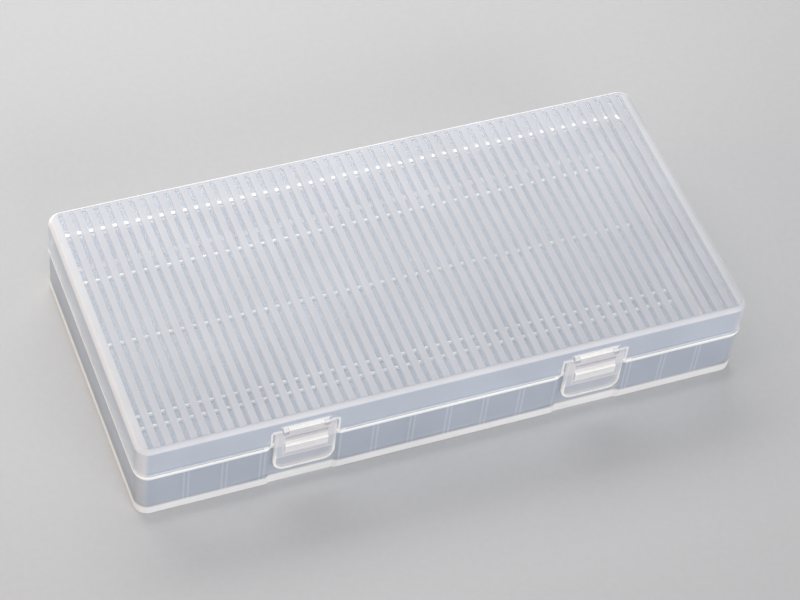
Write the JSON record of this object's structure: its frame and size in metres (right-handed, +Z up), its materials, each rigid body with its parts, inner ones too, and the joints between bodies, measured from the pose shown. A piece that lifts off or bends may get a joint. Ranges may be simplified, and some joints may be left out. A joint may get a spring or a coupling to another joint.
{
  "type": "battery storage case",
  "caption": "Flat translucent hinged case with a tray for two rows of round battery cells, a channelled lid and two hinged front latches.",
  "frame": {"origin": "middle of the whole case's footprint, latches and hinge included, on the surface it stands on", "axes": "+X along the case to the right as seen from the latches, +Y from the latches to the hinge, +Z up"},
  "size_m": [0.262, 0.1367, 0.0413],
  "materials": {
    "base_plastic": "frosted translucent",
    "lid_plastic": "frosted translucent with clear channels",
    "latch_plastic": "frosted translucent",
    "pin_steel": "drawn wire"
  },
  "bodies": {
    "base": {"base_shell": "base_plastic", "hinge_pin_left": "pin_steel", "hinge_pin_right": "pin_steel"},
    "lid": {"lid_shell": "lid_plastic"},
    "latch_left": {"latch_left": "latch_plastic"},
    "latch_right": {"latch_right": "latch_plastic"}
  },
  "joints": [
    {"name": "lid_hinge", "type": "hinge", "parent": "base", "child": "lid", "pos_m": [0, 0.06575, 0.0243], "axis": [-1, 0, 0], "range_deg": [0, 180]},
    {"name": "latch_left_hinge", "type": "hinge", "parent": "lid", "child": "latch_left", "pos_m": [-0.0621, -0.066, 0.0345], "axis": [-1, 0, 0], "range_deg": [0, 110]},
    {"name": "latch_right_hinge", "type": "hinge", "parent": "lid", "child": "latch_right", "pos_m": [0.0621, -0.066, 0.0345], "axis": [-1, 0, 0], "range_deg": [0, 110]}
  ]
}
